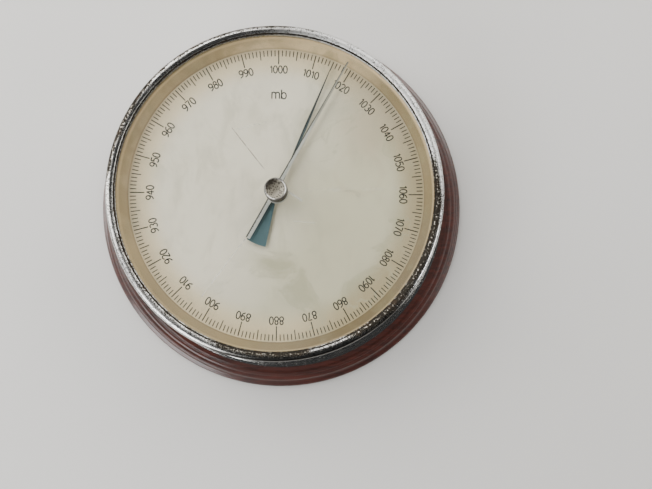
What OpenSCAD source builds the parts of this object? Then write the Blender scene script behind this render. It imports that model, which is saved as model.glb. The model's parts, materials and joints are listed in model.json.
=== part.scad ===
// Round wall and table barometer, lying on its back: the origin is the centre of the board's underside,
// +Z points out through the dial and +Y points at the top of the scale.

/* [Board] */
// Height of the flat seat that carries the case
board_h = 10; // [9:0.5:14]
// Radius of the rounded rim at the foot of the board
board_rim_r = 2.4; // [1.5:0.1:3]
// Distance of the inner bead from the flange's edge
bead_gap = 4; // [2.5:0.1:5]
// Distance between the two beads
bead_pitch = 2.4; // [2:0.1:3.5]
// Width of the board outside the outer bead
foot_w = 6.2; // [5.6:0.1:6.8]
// Radius of each bead's round section
bead_r = 1.3; // [0.8:0.1:1.4]
// Radius of the hole that gives access to the setting screw
access_r = 6; // [4:0.5:8]

/* [Hanging plate] */
// Width of the keyhole plate
hang_w = 20; // [16:1:30]
// Length of the keyhole plate
hang_l = 44; // [36:1:50]
// Thickness of the keyhole plate
hang_t = 1.6; // [1:0.1:2.5]
// Distance of the keyhole from the board's edge
hang_in = 27.6; // [25:0.1:40]
// Radius of the round part of the keyhole
keyhole_r = 4.5; // [4:0.1:6]
// Radius of the narrow part of the keyhole
keyslot_r = 2.2; // [1.5:0.1:3]
// Length of the keyhole's narrow part
keyslot_l = 9; // [7:0.5:12]
// Depth of the pocket for the head of the wall screw
pocket_d = 6.5; // [5:0.5:7]
// Distance between the two screws of the keyhole plate
hang_screw_pitch = 34; // [30:1:36]
// Shank radius of those two screws
hang_screw_r = 1.3; // [1:0.1:1.6]

/* [Case] */
// Outer radius of the drum
drum_r = 79; // [78:0.1:79.4]
// Wall of the drum
drum_wall = 1.5; // [1:0.1:1.6]
// Height of the drum's rim above its seat
drum_h = 46; // [45:0.5:52]
// Thickness of the drum's flange and back
flange_t = 1.5; // [1:0.1:2]
// Width of the flange outside the drum
flange_w = 14; // [12:0.1:16]
// Radius of the flange's rolled edge
flange_roll_r = 1.2; // [0.9:0.1:1.4]
// Distance of the flange screws from the drum's wall
flange_screw_in = 7; // [5.5:0.5:9]
// Shank radius of the flange screws
flange_screw_r = 1.6; // [1.2:0.1:2]
// Length of the flange screws below the flange
flange_screw_l = 7; // [5:0.5:8]

/* [Bezel and glass] */
// Width of the rounded section of the bezel
bezel_w = 4.8; // [4:0.1:5.5]
// Depth of the bezel's skirt below the glass
skirt_h = 13; // [8:0.5:20]
// Thickness of the skirt
skirt_t = 1.3; // [0.9:0.1:1.6]
// Gap between the skirt and the drum
skirt_gap = 0.2; // [0.1:0.05:0.3]
// Thickness of the glass
glass_t = 2; // [1.5:0.1:3]
// Thickness of the seal under the glass
seal_t = 1; // [0.6:0.1:1.6]
// Radius of the hole in the middle of the glass
glass_hole_r = 2.6; // [2:0.1:3.5]

/* [Dial] */
// Thickness of the dial
dial_t = 1; // [0.6:0.1:1.6]
// Distance of the scale marks from the inside of the drum
ring_w = 5.5; // [5:0.1:12]
// Radius of the hole in the middle of the dial
dial_hole_r = 3.5; // [3:0.1:5]
// Thickness of the slanted ring's sheet
cone_t = 0.9; // [0.6:0.1:1.2]
// Distance between the outer scale marks and the slanted ring
cone_gap = 0.7; // [0.3:0.1:2]

/* [Hands] */
// Distance of the indicator's tip inside the ring of scale marks
tip_in = 2.5; // [0.5:0.1:8]
// Width of the indicator hand halfway along
indicator_w = 1.5; // [1:0.1:2.5]
// Length of the indicator's tail
tail_l = 27; // [18:0.5:30]
// Angle that the indicator's wedge-shaped tail spans
tail_angle = 21.4; // [12:0.2:30]
// Reading of the indicator in millibars
reading_mb = 1015; // [1010:0.5:1022]
// Distance of the set hand's tip outside the ring of scale marks
set_out = 1.5; // [-6:0.1:2]
// Width of the set hand at its root
set_w = 2.2; // [1:0.1:2.5]
// Length of the set hand's tail
set_tail_l = 26.2; // [15:0.1:32]
// Reading of the set hand in millibars
set_mb = 1019.3; // [900:0.1:1080]
// Distance by which the set hand's strip passes beside the centre
set_offset = 1.4; // [0:0.1:1.4]
// Thickness of both hands
hand_t = 0.4; // [0.3:0.05:0.6]
// Radius of the setting knob
knob_r = 5.4; // [4.5:0.1:6.5]
// Number of grooves round the setting knob
knob_grooves = 40; // [24:1:44]
// Height of the setting knob
knob_h = 7.3; // [5:0.1:10]
// Radius of the spindle between knob and set hand
spindle_r = 1.4; // [1:0.1:1.8]

/* [Movement] */
// Radius of the movement plate
plate_r = 62; // [61.5:0.5:66]
// Thickness of the movement plate
plate_t = 3; // [2:0.5:4]
// Radius of the vacuum capsule
capsule_r = 30; // [26:0.5:31]
// Thickness of the vacuum capsule at its rim
capsule_h = 10; // [8:0.5:11]
// Depth of the capsule's corrugations
corrugation_d = 0.9; // [0.4:0.1:1.2]
// Number of corrugations across a radius
corrugations = 5; // [3:1:6]
// Width of the main spring
spring_w = 24; // [16:1:24]
// Thickness of the main spring
spring_t = 1; // [0.6:0.1:1.4]
// Width of the main lever
lever_w = 6; // [4:0.5:8]
// Thickness of the main lever
lever_t = 2; // [1:0.1:2.4]
// Radius of the rocking shaft
rocker_r = 1.45; // [1:0.05:1.8]
// Length of the rocking shaft
rocker_l = 43.6; // [42:0.2:46]
// Length of the rocking shaft's short arm
short_arm = 10; // [8:0.5:12]
// Length of the sector's tail
sector_tail = 9; // [8:0.5:11]
// Size of the gear teeth, as pitch diameter per tooth
tooth_module = 0.6; // [0.55:0.01:0.65]
// Teeth of the pinion
pinion_teeth = 12; // [12:1:12]
// Teeth that the whole sector wheel would have
sector_teeth = 120; // [120:1:120]
// Teeth cut on the sector
sector_cut = 16; // [14:1:18]
// Radius of the pointer arbor
arbor_r = 0.8; // [0.6:0.05:1]
// Radius of the setting screw in the back
setting_r = 2.5; // [2:0.1:3]

/* [Hidden] */
$fn = 96;

// running fit of a shaft in its hole, and gap of a screw in its hole
run_fit = 0.05;
screw_fit = 0.1;
// depth of the countersunk heads of the keyhole plate's screws
hang_sink = 1;
// gap between pieces that pass each other
pass_gap = 0.3;

// degrees on the dial for one millibar, and the reading at the top
deg_per_mb = 1.5;
top_mb = 1000;

// levels from the board upwards
drum_back_top = board_h + flange_t;
drum_top = board_h + drum_h;
glass_z = drum_top + seal_t;
glass_top = glass_z + glass_t;
dial_top = glass_z - 5;
dial_z = dial_top - dial_t;
plate_top = drum_back_top + plate_t;
capsule_z = plate_top + 2.5;
capsule_top = capsule_z + capsule_h;
spring_z = capsule_top + 8;
spring_top = spring_z + spring_t;
train_z = spring_top + 5;
train_t = 1.5;
bridge_z = train_z + 7;
bridge_top = bridge_z + train_t;
gear_z = train_z + train_t + 1;
gear_t = 1.5;

// directions of the flange screws, counted counterclockwise from +X
flange_screw_angles = [30, 150, 270];

// radii that follow the drum
drum_in = drum_r - drum_wall;
flange_r = drum_r + flange_w;
flange_screw_circle = drum_r + flange_screw_in;
bead_in_r = flange_r + bead_gap;
bead_out_r = bead_in_r + bead_pitch;
board_r = bead_out_r + foot_w;
hang_y = board_r - hang_in;
scale_r = drum_in - ring_w;
indicator_l = scale_r - tip_in;
set_l = scale_r + set_out;
bezel_in = drum_r + skirt_gap;
bezel_out = bezel_in + skirt_t;
lip_c = bezel_out + 0.3 - bezel_w / 2;

// places of the movement's parts
capsule_x = -14;
bridge_x = -57;
bridge_w = 9;
clamp_edge = bridge_x + bridge_w;
setting_x = bridge_x + bridge_w / 2;
rocker_x = 36;
rocker_z = capsule_top + 3;
link_x = rocker_x - short_arm;
lever_tip_z = spring_top + lever_t / 2;
gear_distance = (pinion_teeth + sector_teeth) * tooth_module / 2;
sector_dir = -acos(rocker_x / gear_distance);
sector_y = gear_distance * sin(sector_dir);
tail_y = sector_y + sector_tail;
contact_z = gear_z + gear_t + 1.2;
contact_gap = 0.25;
tail_pin_r = 0.5;
contact_r = 0.6;
train_feet = [[-6, 36], [4, -36], [54, -22]];

// points on an arc of centre (cx, cy), from angle a0 to a1
function arc(cx, cy, r, a0, a1, n) =
    [for (i = [0:n]) [cx + r * cos(a0 + (a1 - a0) * i / n), cy + r * sin(a0 + (a1 - a0) * i / n)]];

// a point at an angle counted counterclockwise from +X
function polar(r, a) = [r * cos(a), r * sin(a)];

// angle about +Z that turns a hand drawn along +Y to a reading
function mb_angle(mb) = -(mb - top_mb) * deg_per_mb;

// corrugated face of the capsule, from the centre boss to the rim
boss_r = 5;
capsule_lip = 2;
function wave(t) = corrugation_d * sin(t * corrugations * 360) * (t < 1 ? 1 : 0);
function capsule_face(z, side) =
    [for (i = [0:corrugations * 8]) let (t = i / (corrugations * 8))
        [boss_r + (capsule_r - capsule_lip - boss_r) * t, z + side * wave(t)]];

// spiral of the hairspring: its radius grows evenly with the angle
coil_in = 1.75;
coil_out = 7.6;
coil_turns = 5;
coil_band = 0.25;
coil_steps = 24 * coil_turns;
function coil(offset) =
    [for (i = [0:coil_steps]) let (t = i / coil_steps)
        polar(coil_in + (coil_out - coil_in) * t + offset, 360 * coil_turns * t)];
function backwards(v) = [for (i = [len(v) - 1:-1:0]) v[i]];

// screw with a slotted head, drawn with its head's underside at z = 0
module screw(shank_r, shank_l, head_r, head_h) {
    difference() {
        union() {
            translate([0, 0, -shank_l])
                cylinder(r = shank_r, h = shank_l + head_h / 2, $fn = 32);
            cylinder(r = head_r, h = head_h, $fn = 48);
        }
        translate([-head_r - 1, -head_r * 0.14, head_h * 0.55])
            cube([2 * head_r + 2, head_r * 0.28, head_h]);
    }
}

// flat bar with round ends between two points
module bar(a, b, w) {
    d = b - a;
    translate(a) {
        circle(r = w / 2, $fn = 48);
        rotate(atan2(d[1], d[0]))
            translate([0, -w / 2])
                square([norm(d), w]);
    }
    translate(b)
        circle(r = w / 2, $fn = 48);
}

// one gear tooth on a wheel whose axis is the origin, pointing along +X
tooth_add = 0.7 * tooth_module;
tooth_ded = 0.95 * tooth_module;
tooth_half = 0.62 * tooth_module;
tooth_slope = 0.36;
module tooth(pitch_r) {
    root = pitch_r - tooth_ded - 0.1;
    tip_half = tooth_half - tooth_add * tooth_slope;
    root_half = tooth_half + tooth_ded * tooth_slope * 0.6;
    polygon([[root, -root_half], [pitch_r, -tooth_half], [pitch_r + tooth_add, -tip_half],
        [pitch_r + tooth_add, tip_half], [pitch_r, tooth_half], [root, root_half]]);
}

module board() {
    rim_c = board_r - board_rim_r;
    cove_r = foot_w * 0.55;
    color([0.30, 0.09, 0.06])
    difference() {
        rotate_extrude($fn = 180)
            polygon(concat([[0, 0], [rim_c, 0]],
                arc(rim_c, board_rim_r, board_rim_r, -90, 75, 10),
                arc(bead_out_r + bead_r + cove_r + 0.1, board_h - 1.4, cove_r, 262, 188, 8),
                arc(bead_out_r, board_h - 0.9, bead_r, 0, 105, 6),
                arc(bead_in_r, board_h, bead_r, 20, 160, 8),
                [[bead_in_r - bead_r - 0.5, board_h], [0, board_h]]));
        // hole to the setting screw
        translate([setting_x, 0, -1])
            cylinder(r = access_r, h = board_h + 2);
        // seat of the keyhole plate
        translate([-hang_w / 2, hang_y - hang_l / 2, -1])
            cube([hang_w, hang_l, hang_t + 1]);
        // pocket behind the keyhole
        translate([0, hang_y - 2, -1])
            cylinder(r = keyhole_r + 1.2, h = pocket_d + 1);
        translate([-keyhole_r - 1.2, hang_y - 2, -1])
            cube([2 * keyhole_r + 2.4, keyslot_l + 2, pocket_d + 1]);
        translate([0, hang_y + keyslot_l, -1])
            cylinder(r = keyhole_r + 1.2, h = pocket_d + 1);
        // pilot holes of the keyhole plate's screws and of the flange screws
        for (s = [-1, 1])
            translate([0, hang_y + s * hang_screw_pitch / 2, -1])
                cylinder(r = hang_screw_r + screw_fit, h = board_h - 1.5, $fn = 32);
        for (a = flange_screw_angles)
            rotate(a)
                translate([flange_screw_circle, 0, board_h - flange_screw_l - 0.5])
                    cylinder(r = flange_screw_r + screw_fit, h = flange_screw_l + 2, $fn = 32);
    }
}

module hanging_plate() {
    color([0.72, 0.58, 0.30])
    difference() {
        translate([-hang_w / 2 + 0.1, hang_y - hang_l / 2 + 0.1, 0])
            cube([hang_w - 0.2, hang_l - 0.2, hang_t]);
        translate([0, hang_y, -1])
            cylinder(r = keyhole_r, h = hang_t + 2);
        translate([-keyslot_r, hang_y, -1])
            cube([2 * keyslot_r, keyslot_l, hang_t + 2]);
        translate([0, hang_y + keyslot_l, -1])
            cylinder(r = keyslot_r, h = hang_t + 2);
        // countersunk screw holes
        for (s = [-1, 1])
            translate([0, hang_y + s * hang_screw_pitch / 2, 0]) {
                translate([0, 0, -1])
                    cylinder(r = hang_screw_r + screw_fit, h = hang_t + 2, $fn = 32);
                translate([0, 0, -0.1])
                    cylinder(r1 = hang_screw_r + hang_sink + screw_fit + 0.1, r2 = hang_screw_r + screw_fit - 0.1,
                        h = hang_sink + 0.2, $fn = 48);
            }
    }
}

module hanging_screws() {
    color([0.72, 0.58, 0.30])
    for (s = [-1, 1])
        translate([0, hang_y + s * hang_screw_pitch / 2, 0.1])
            difference() {
                union() {
                    cylinder(r1 = hang_screw_r + hang_sink, r2 = hang_screw_r, h = hang_sink, $fn = 48);
                    cylinder(r = hang_screw_r, h = board_h - 3, $fn = 32);
                }
                rotate(s * 35)
                    translate([-4, -0.35, -1])
                        cube([8, 0.7, 1.6]);
            }
}

module drum() {
    color([0.80, 0.80, 0.79])
    difference() {
        rotate_extrude($fn = 180)
            polygon(concat([[0, board_h], [flange_r - flange_roll_r, board_h]],
                arc(flange_r - flange_roll_r, board_h + flange_roll_r, flange_roll_r, -90, 120, 12),
                [[flange_r - 2 * flange_roll_r - 0.6, drum_back_top]],
                arc(drum_r + 3, drum_back_top + 3, 3, 270, 180, 6),
                [[drum_r, drum_top], [drum_in, drum_top]],
                arc(drum_in - 2, drum_back_top + 2, 2, 0, -90, 6),
                [[0, drum_back_top]]));
        // opening for the setting screw
        translate([setting_x, 0, board_h - 1])
            cylinder(r = setting_r + 0.8, h = flange_t + 2);
        for (a = flange_screw_angles)
            rotate(a)
                translate([flange_screw_circle, 0, board_h - 1])
                    cylinder(r = flange_screw_r + screw_fit, h = flange_t + 2, $fn = 32);
        for (a = plate_screw_angles)
            rotate(a)
                translate([plate_screw_circle, 0, board_h - 1])
                    cylinder(r = plate_screw_r + screw_fit, h = flange_t + 2, $fn = 32);
        translate([capsule_x, 0, board_h - 1])
            cylinder(r = capsule_nut_r + 0.5, h = flange_t + 2, $fn = 48);
    }
}

module flange_screws() {
    color([0.80, 0.80, 0.79])
    for (a = flange_screw_angles)
        rotate(a)
            translate([flange_screw_circle, 0, drum_back_top])
                rotate(a * 1.7)
                    screw(flange_screw_r, flange_screw_l + flange_t - 0.5, 3, 1.4);
}

module bezel() {
    low = glass_z - skirt_h;
    lip_in = lip_c - bezel_w / 2;
    color([0.80, 0.80, 0.79])
    rotate_extrude($fn = 180)
        polygon(concat([[bezel_in, low], [bezel_out, low], [bezel_out, glass_top - 0.9]],
            arc(lip_c, glass_top + 0.1, bezel_w / 2, -20, 158, 16),
            [[lip_in, glass_top + 0.9], [lip_in, glass_top], [bezel_in, glass_top]]));
}

module glass() {
    color([0.85, 0.90, 0.88, 0.35])
    difference() {
        translate([0, 0, glass_z])
            cylinder(r = bezel_in - pass_gap, h = glass_t, $fn = 180);
        translate([0, 0, glass_z - 1])
            cylinder(r = glass_hole_r, h = glass_t + 2);
    }
}

module glass_seal() {
    color([0.10, 0.10, 0.10])
    difference() {
        translate([0, 0, drum_top])
            cylinder(r = drum_r, h = seal_t, $fn = 180);
        translate([0, 0, drum_top - 1])
            cylinder(r = drum_in - 0.1, h = seal_t + 2, $fn = 180);
    }
}

module slanted_ring() {
    low_r = scale_r + cone_gap;
    top_r = drum_in - 0.9;
    color([0.72, 0.66, 0.50])
    rotate_extrude($fn = 180)
        polygon([[low_r, dial_top], [low_r + cone_t, dial_top], [drum_in - pass_gap, glass_z - 0.8],
            [drum_in - pass_gap, glass_z], [top_r, glass_z]]);
}

module dial() {
    color([0.88, 0.87, 0.82])
    difference() {
        translate([0, 0, dial_z])
            cylinder(r = drum_in - pass_gap, h = dial_t, $fn = 180);
        translate([0, 0, dial_z - 1])
            cylinder(r = dial_hole_r, h = dial_t + 2);
    }
}

// places of what stands on the movement plate
plate_screw_angles = [10, 130, 250];
plate_screw_circle = 56;
plate_screw_r = 1.5;
dial_pillar_angles = [70, 150, 230, 310];
dial_pillar_circle = 56;
dial_pillar_r = 2.5;
capsule_nut_r = 4.5;
capsule_stud_r = 2.5;
bridge_screw_y = spring_w / 2 + 3.5;
clamp_screw_y = 8;
fix_screw_r = 1.45;
bracket_y = 20;
bracket_w = 4;
bracket_l = 8;
bracket_screw_x = 7;

module dial_pillars() {
    color([0.75, 0.62, 0.32])
    for (a = dial_pillar_angles)
        rotate(a)
            translate([dial_pillar_circle, 0, 0]) {
                translate([0, 0, plate_top])
                    cylinder(r = dial_pillar_r, h = dial_z - plate_top, $fn = 48);
                translate([0, 0, drum_back_top])
                    cylinder(r = dial_pillar_r - 1, h = plate_t, $fn = 32);
            }
}

module movement_plate() {
    color([0.75, 0.62, 0.32])
    difference() {
        translate([0, 0, drum_back_top])
            cylinder(r = plate_r, h = plate_t, $fn = 180);
        translate([setting_x, 0, drum_back_top - 1])
            cylinder(r = setting_r + run_fit, h = plate_t + 2, $fn = 48);
        translate([capsule_x, 0, drum_back_top - 1])
            cylinder(r = capsule_stud_r + run_fit, h = plate_t + 2, $fn = 48);
        for (a = dial_pillar_angles)
            rotate(a)
                translate([dial_pillar_circle, 0, drum_back_top - 1])
                    cylinder(r = dial_pillar_r - 1 + screw_fit, h = plate_t + 2, $fn = 32);
        for (a = plate_screw_angles)
            rotate(a)
                translate([plate_screw_circle, 0, drum_back_top - 1])
                    cylinder(r = plate_screw_r + screw_fit, h = plate_t + 2, $fn = 32);
        for (s = [-1, 1])
            translate([setting_x, s * bridge_screw_y, drum_back_top - 1])
                cylinder(r = fix_screw_r + screw_fit, h = plate_t + 2, $fn = 32);
        for (s = [-1, 1])
            translate([rocker_x + bracket_screw_x, s * bracket_y, drum_back_top - 1])
                cylinder(r = fix_screw_r + screw_fit, h = plate_t + 2, $fn = 32);
    }
}

module movement_screws() {
    color([0.35, 0.37, 0.42])
    for (a = plate_screw_angles)
        rotate(a)
            translate([plate_screw_circle, 0, plate_top])
                rotate(a * 2.3)
                    screw(plate_screw_r, plate_t + flange_t - 0.2, 2.8, 1.8);
}

module spring_bridge() {
    foot_h = 4;
    color([0.75, 0.62, 0.32])
    difference() {
        union() {
            translate([bridge_x, -bridge_screw_y - 3.5, plate_top])
                cube([bridge_w, 2 * bridge_screw_y + 7, foot_h]);
            translate([bridge_x, -spring_w / 2, plate_top])
                cube([bridge_w, spring_w, spring_z - plate_top]);
        }
        translate([setting_x, 0, plate_top - 1])
            cylinder(r = setting_r + run_fit, h = 15, $fn = 48);
        for (s = [-1, 1])
            translate([setting_x, s * bridge_screw_y, plate_top - 1])
                cylinder(r = fix_screw_r + screw_fit, h = foot_h + 2, $fn = 32);
        for (s = [-1, 1])
            translate([setting_x, s * clamp_screw_y, spring_z - 6])
                cylinder(r = fix_screw_r + screw_fit, h = 7, $fn = 32);
    }
}

module bridge_screws() {
    color([0.35, 0.37, 0.42])
    for (s = [-1, 1])
        translate([setting_x, s * bridge_screw_y, plate_top + 4])
            rotate(30 * s)
                screw(fix_screw_r, 4 + plate_t - 0.3, 2.6, 1.6);
}

module spring_clamp() {
    color([0.75, 0.62, 0.32])
    difference() {
        translate([bridge_x, -spring_w / 2, spring_top])
            cube([bridge_w, spring_w, 3]);
        for (s = [-1, 1])
            translate([setting_x, s * clamp_screw_y, spring_top - 1])
                cylinder(r = fix_screw_r + screw_fit, h = 5, $fn = 32);
    }
}

module clamp_screws() {
    color([0.35, 0.37, 0.42])
    for (s = [-1, 1])
        translate([setting_x, s * clamp_screw_y, spring_top + 3])
            rotate(55 * s)
                screw(fix_screw_r, 8, 2.6, 1.6);
}

spring_end_x = -2;
module main_spring() {
    end_x = spring_end_x;
    color([0.22, 0.27, 0.42])
    difference() {
        translate([bridge_x, -spring_w / 2, spring_z])
            cube([end_x - bridge_x, spring_w, spring_t]);
        translate([capsule_x, 0, spring_z - 1])
            cylinder(r = 3, h = spring_t + 2, $fn = 48);
        for (s = [-1, 1])
            translate([setting_x, s * clamp_screw_y, spring_z - 1])
                cylinder(r = fix_screw_r + screw_fit, h = spring_t + 2, $fn = 32);
        for (s = [-1, 1])
            translate([end_x - 4.5, s * rivet_y, spring_z - 1])
                cylinder(r = rivet_r, h = spring_t + 2, $fn = 32);
        // tapered sides towards the lever
        for (s = [-1, 1])
            linear_extrude(height = 2 * (spring_top + 1), center = true)
                polygon([[clamp_edge + 14, s * (spring_w / 2)], [end_x + 1, s * (spring_w / 2 - 5)],
                    [end_x + 1, s * (spring_w / 2 + 1)], [clamp_edge + 14, s * (spring_w / 2 + 1)]]);
    }
}

module vacuum_capsule() {
    mid = capsule_z + capsule_h / 2;
    color([0.78, 0.76, 0.70])
    translate([capsule_x, 0, 0])
        difference() {
            rotate_extrude($fn = 120)
                polygon(concat([[0, capsule_z]],
                    capsule_face(capsule_z + 1.4, -1),
                    arc(capsule_r - 0.8, mid - 1.6, 0.8, -90, 0, 3),
                    arc(capsule_r - 0.8, mid + 1.6, 0.8, 0, 90, 3),
                    backwards(capsule_face(capsule_top - 1.4, 1)),
                    [[boss_r - 1.2, capsule_top], [0, capsule_top]]));
            // evacuated space
            translate([0, 0, capsule_z + 3.2])
                cylinder(r = capsule_r - 4, h = capsule_h - 6.4, $fn = 120);
        }
}

module capsule_stud() {
    color([0.75, 0.62, 0.32])
    translate([capsule_x, 0, 0]) {
        translate([0, 0, plate_top])
            cylinder(r = 4, h = capsule_z - plate_top, $fn = 48);
        translate([0, 0, drum_back_top - 1])
            cylinder(r = capsule_stud_r, h = plate_t + 1.1, $fn = 48);
        // nut under the plate
        translate([0, 0, drum_back_top - 1.2])
            cylinder(r = capsule_nut_r, h = 1.2, $fn = 6);
    }
}

module capsule_post() {
    post_r = 2;
    pin_r = 0.8;
    color([0.75, 0.62, 0.32])
    translate([capsule_x, 0, 0]) {
        translate([0, 0, capsule_top])
            cylinder(r = post_r, h = spring_top + 2.4 - capsule_top, $fn = 48);
        translate([0, 0, spring_top + 0.1 + pin_r])
            rotate([90, 0, 0])
                cylinder(r = pin_r, h = 10, center = true, $fn = 32);
    }
}

rivet_y = 3.5;
rivet_r = 0.9;
module main_lever() {
    root_x = spring_end_x - 8;
    color([0.75, 0.62, 0.32])
    difference() {
        union() {
            translate([root_x, -lever_w / 2, spring_top])
                cube([link_x - root_x, lever_w, lever_t]);
            translate([root_x, -lever_w, spring_top])
                cube([7, 2 * lever_w, lever_t]);
            translate([link_x, 0, lever_tip_z])
                rotate([90, 0, 0])
                    cylinder(r = lever_t / 2, h = lever_w, center = true, $fn = 32);
            // rivets that hold the lever to the spring
            for (s = [-1, 1])
                translate([root_x + 3.5, s * rivet_y, spring_z - 0.5])
                    cylinder(r = rivet_r, h = spring_t + lever_t + 0.9, $fn = 32);
            // pin that carries the link
            translate([link_x, lever_w / 2 - 0.5, lever_tip_z])
                rotate([-90, 0, 0])
                    cylinder(r = 0.5, h = 2.8, $fn = 32);
        }
        // long slot that lightens the lever
        translate([6, -1, spring_top - 1])
            cube([12, 2, lever_t + 2]);
    }
}

link_y = lever_w / 2 + pass_gap;
link_w = 1.2;
module link_rod() {
    color([0.72, 0.73, 0.75])
    translate([link_x, link_y + link_w, 0])
        rotate([90, 0, 0])
            difference() {
                linear_extrude(height = link_w)
                    difference() {
                        bar([0, rocker_z], [0, lever_tip_z], 3.2);
                        translate([0, lever_tip_z])
                            circle(r = 0.5 + run_fit + 0.02, $fn = 32);
                        translate([0, rocker_z])
                            circle(r = 1, $fn = 32);
                    }
            }
}

module rocking_shaft() {
    arm_top = contact_z;
    arm_x = rocker_x - tail_pin_r - contact_gap - contact_r;
    color([0.72, 0.73, 0.75])
    union() {
        translate([rocker_x, 0, rocker_z])
            rotate([90, 0, 0])
                cylinder(r = rocker_r, h = rocker_l, center = true, $fn = 48);
        // short arm, lifted by the link
        translate([link_x, 0.6, rocker_z - 1])
            cube([short_arm, 2, 2]);
        translate([link_x, 0.6, rocker_z])
            rotate([-90, 0, 0])
                cylinder(r = 1, h = 2, $fn = 32);
        translate([link_x, 2, rocker_z])
            rotate([-90, 0, 0])
                cylinder(r = 0.5, h = 3.3, $fn = 32);
        // long arm, which pushes the sector's tail
        translate([arm_x - 1.5, tail_y - 1, rocker_z])
            cube([1.3, 2, arm_top - rocker_z]);
        translate([arm_x - 1.5, tail_y - 1, rocker_z - 1])
            cube([2.5, 2, 2]);
        translate([arm_x, tail_y, arm_top])
            rotate([90, 0, 0])
                cylinder(r = contact_r, h = 4, center = true, $fn = 32);
    }
}

module rocker_brackets() {
    color([0.75, 0.62, 0.32])
    for (s = [-1, 1])
        difference() {
            union() {
                translate([rocker_x - bracket_l / 2, s * bracket_y - bracket_w / 2, plate_top])
                    cube([bracket_l, bracket_w, rocker_z - plate_top]);
                translate([rocker_x, s * bracket_y, rocker_z])
                    rotate([90, 0, 0])
                        cylinder(r = bracket_l / 2, h = bracket_w, center = true, $fn = 48);
                translate([rocker_x, s * bracket_y - bracket_w, plate_top])
                    cube([bracket_screw_x + 4, 2 * bracket_w, 2.5]);
            }
            translate([rocker_x, s * bracket_y, rocker_z])
                rotate([90, 0, 0])
                    cylinder(r = rocker_r + run_fit, h = bracket_w + 2, center = true, $fn = 48);
            translate([rocker_x + bracket_screw_x, s * bracket_y, plate_top - 1])
                cylinder(r = fix_screw_r + screw_fit, h = 5, $fn = 32);
        }
}

module bracket_screws() {
    color([0.35, 0.37, 0.42])
    for (s = [-1, 1])
        translate([rocker_x + bracket_screw_x, s * bracket_y, plate_top + 2.5])
            rotate(40 * s)
                screw(fix_screw_r, 2.5 + plate_t - 0.3, 2.4, 1.6);
}

// plan of the two plates that carry the train
module train_plan() {
    bar([0, 0], train_feet[0], 10);
    bar([0, 0], train_feet[1], 10);
    bar([0, 0], [rocker_x, sector_y], 10);
    bar([rocker_x, sector_y], train_feet[2], 10);
}

module train_holes(h) {
    cylinder(r = arbor_r + run_fit, h = h, $fn = 32);
    translate([rocker_x, sector_y, 0])
        cylinder(r = 1 + run_fit, h = h, $fn = 32);
    for (p = train_feet)
        translate(p)
            cylinder(r = train_screw_r + screw_fit, h = h, $fn = 32);
}
train_screw_r = 1.2;

module train_plate() {
    color([0.75, 0.62, 0.32])
    translate([0, 0, train_z])
        difference() {
            linear_extrude(height = train_t)
                train_plan();
            translate([0, 0, -1])
                train_holes(train_t + 2);
        }
}

module train_bridge() {
    color([0.75, 0.62, 0.32])
    translate([0, 0, bridge_z])
        difference() {
            linear_extrude(height = train_t)
                train_plan();
            translate([0, 0, -1])
                train_holes(train_t + 2);
            // seat of the hairspring's stud
            rotate(coil_end)
                translate([stud_place, 0, -1])
                    cylinder(r = stud_r + run_fit, h = train_t + 2, $fn = 32);
        }
}

module train_pillars() {
    hole = 4;
    color([0.75, 0.62, 0.32])
    for (p = train_feet)
        translate(p) {
            difference() {
                translate([0, 0, plate_top])
                    cylinder(r = 3, h = train_z - plate_top, $fn = 48);
                translate([0, 0, train_z - hole])
                    cylinder(r = train_screw_r + screw_fit, h = hole + 1, $fn = 32);
            }
            difference() {
                translate([0, 0, train_z + train_t])
                    cylinder(r = 2.6, h = bridge_z - train_z - train_t, $fn = 48);
                translate([0, 0, train_z])
                    cylinder(r = train_screw_r + screw_fit, h = bridge_z - train_z + 1, $fn = 32);
            }
        }
}

module train_screws() {
    color([0.35, 0.37, 0.42])
    for (p = train_feet)
        translate([p[0], p[1], bridge_top])
            rotate(p[0] * 7)
                screw(train_screw_r, bridge_top - train_z + 3, 2.2, 1.1);
}

// toothed sector, drawn about its own axis with its middle pointing at the pinion
sector_r = sector_teeth * tooth_module / 2;
pinion_r = pinion_teeth * tooth_module / 2;
sector_mid = -6;
module sector() {
    pitch = 360 / sector_teeth;
    span = sector_cut * pitch;
    rim_out = sector_r - tooth_ded;
    mid = round(-sector_mid / pitch) * pitch;
    color([0.75, 0.62, 0.32])
    translate([rocker_x, sector_y, gear_z])
        difference() {
            union() {
                linear_extrude(height = gear_t)
                    rotate(sector_dir + 180) {
                        // rim
                        intersection() {
                            difference() {
                                circle(r = rim_out, $fn = 180);
                                circle(r = rim_out - 4, $fn = 180);
                            }
                            polygon([[0, 0], polar(60, mid - span / 2), polar(60, mid),
                                polar(60, mid + span / 2)]);
                        }
                        for (i = [0:sector_cut - 1])
                            rotate(mid + (i - floor(sector_cut / 2)) * pitch)
                                tooth(sector_r);
                        bar([0, 0], polar(rim_out - 2, mid - span / 2 + 4), 3);
                        bar([0, 0], polar(rim_out - 2, mid + span / 2 - 4), 3);
                        circle(r = 4.5, $fn = 48);
                    }
                linear_extrude(height = gear_t)
                    bar([0, 0], [0, sector_tail], 1.6);
                // pin that the rocking shaft pushes
                translate([0, sector_tail, 0.5])
                    cylinder(r = tail_pin_r, h = contact_z + 1 - gear_z - 0.5, $fn = 32);
            }
            translate([0, 0, -1])
                cylinder(r = 1, h = gear_t + 2, $fn = 32);
        }
}

module sector_arbor() {
    color([0.72, 0.73, 0.75])
    translate([rocker_x, sector_y, train_z - 0.5])
        cylinder(r = 1, h = bridge_top - train_z + 0.8, $fn = 32);
}

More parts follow.
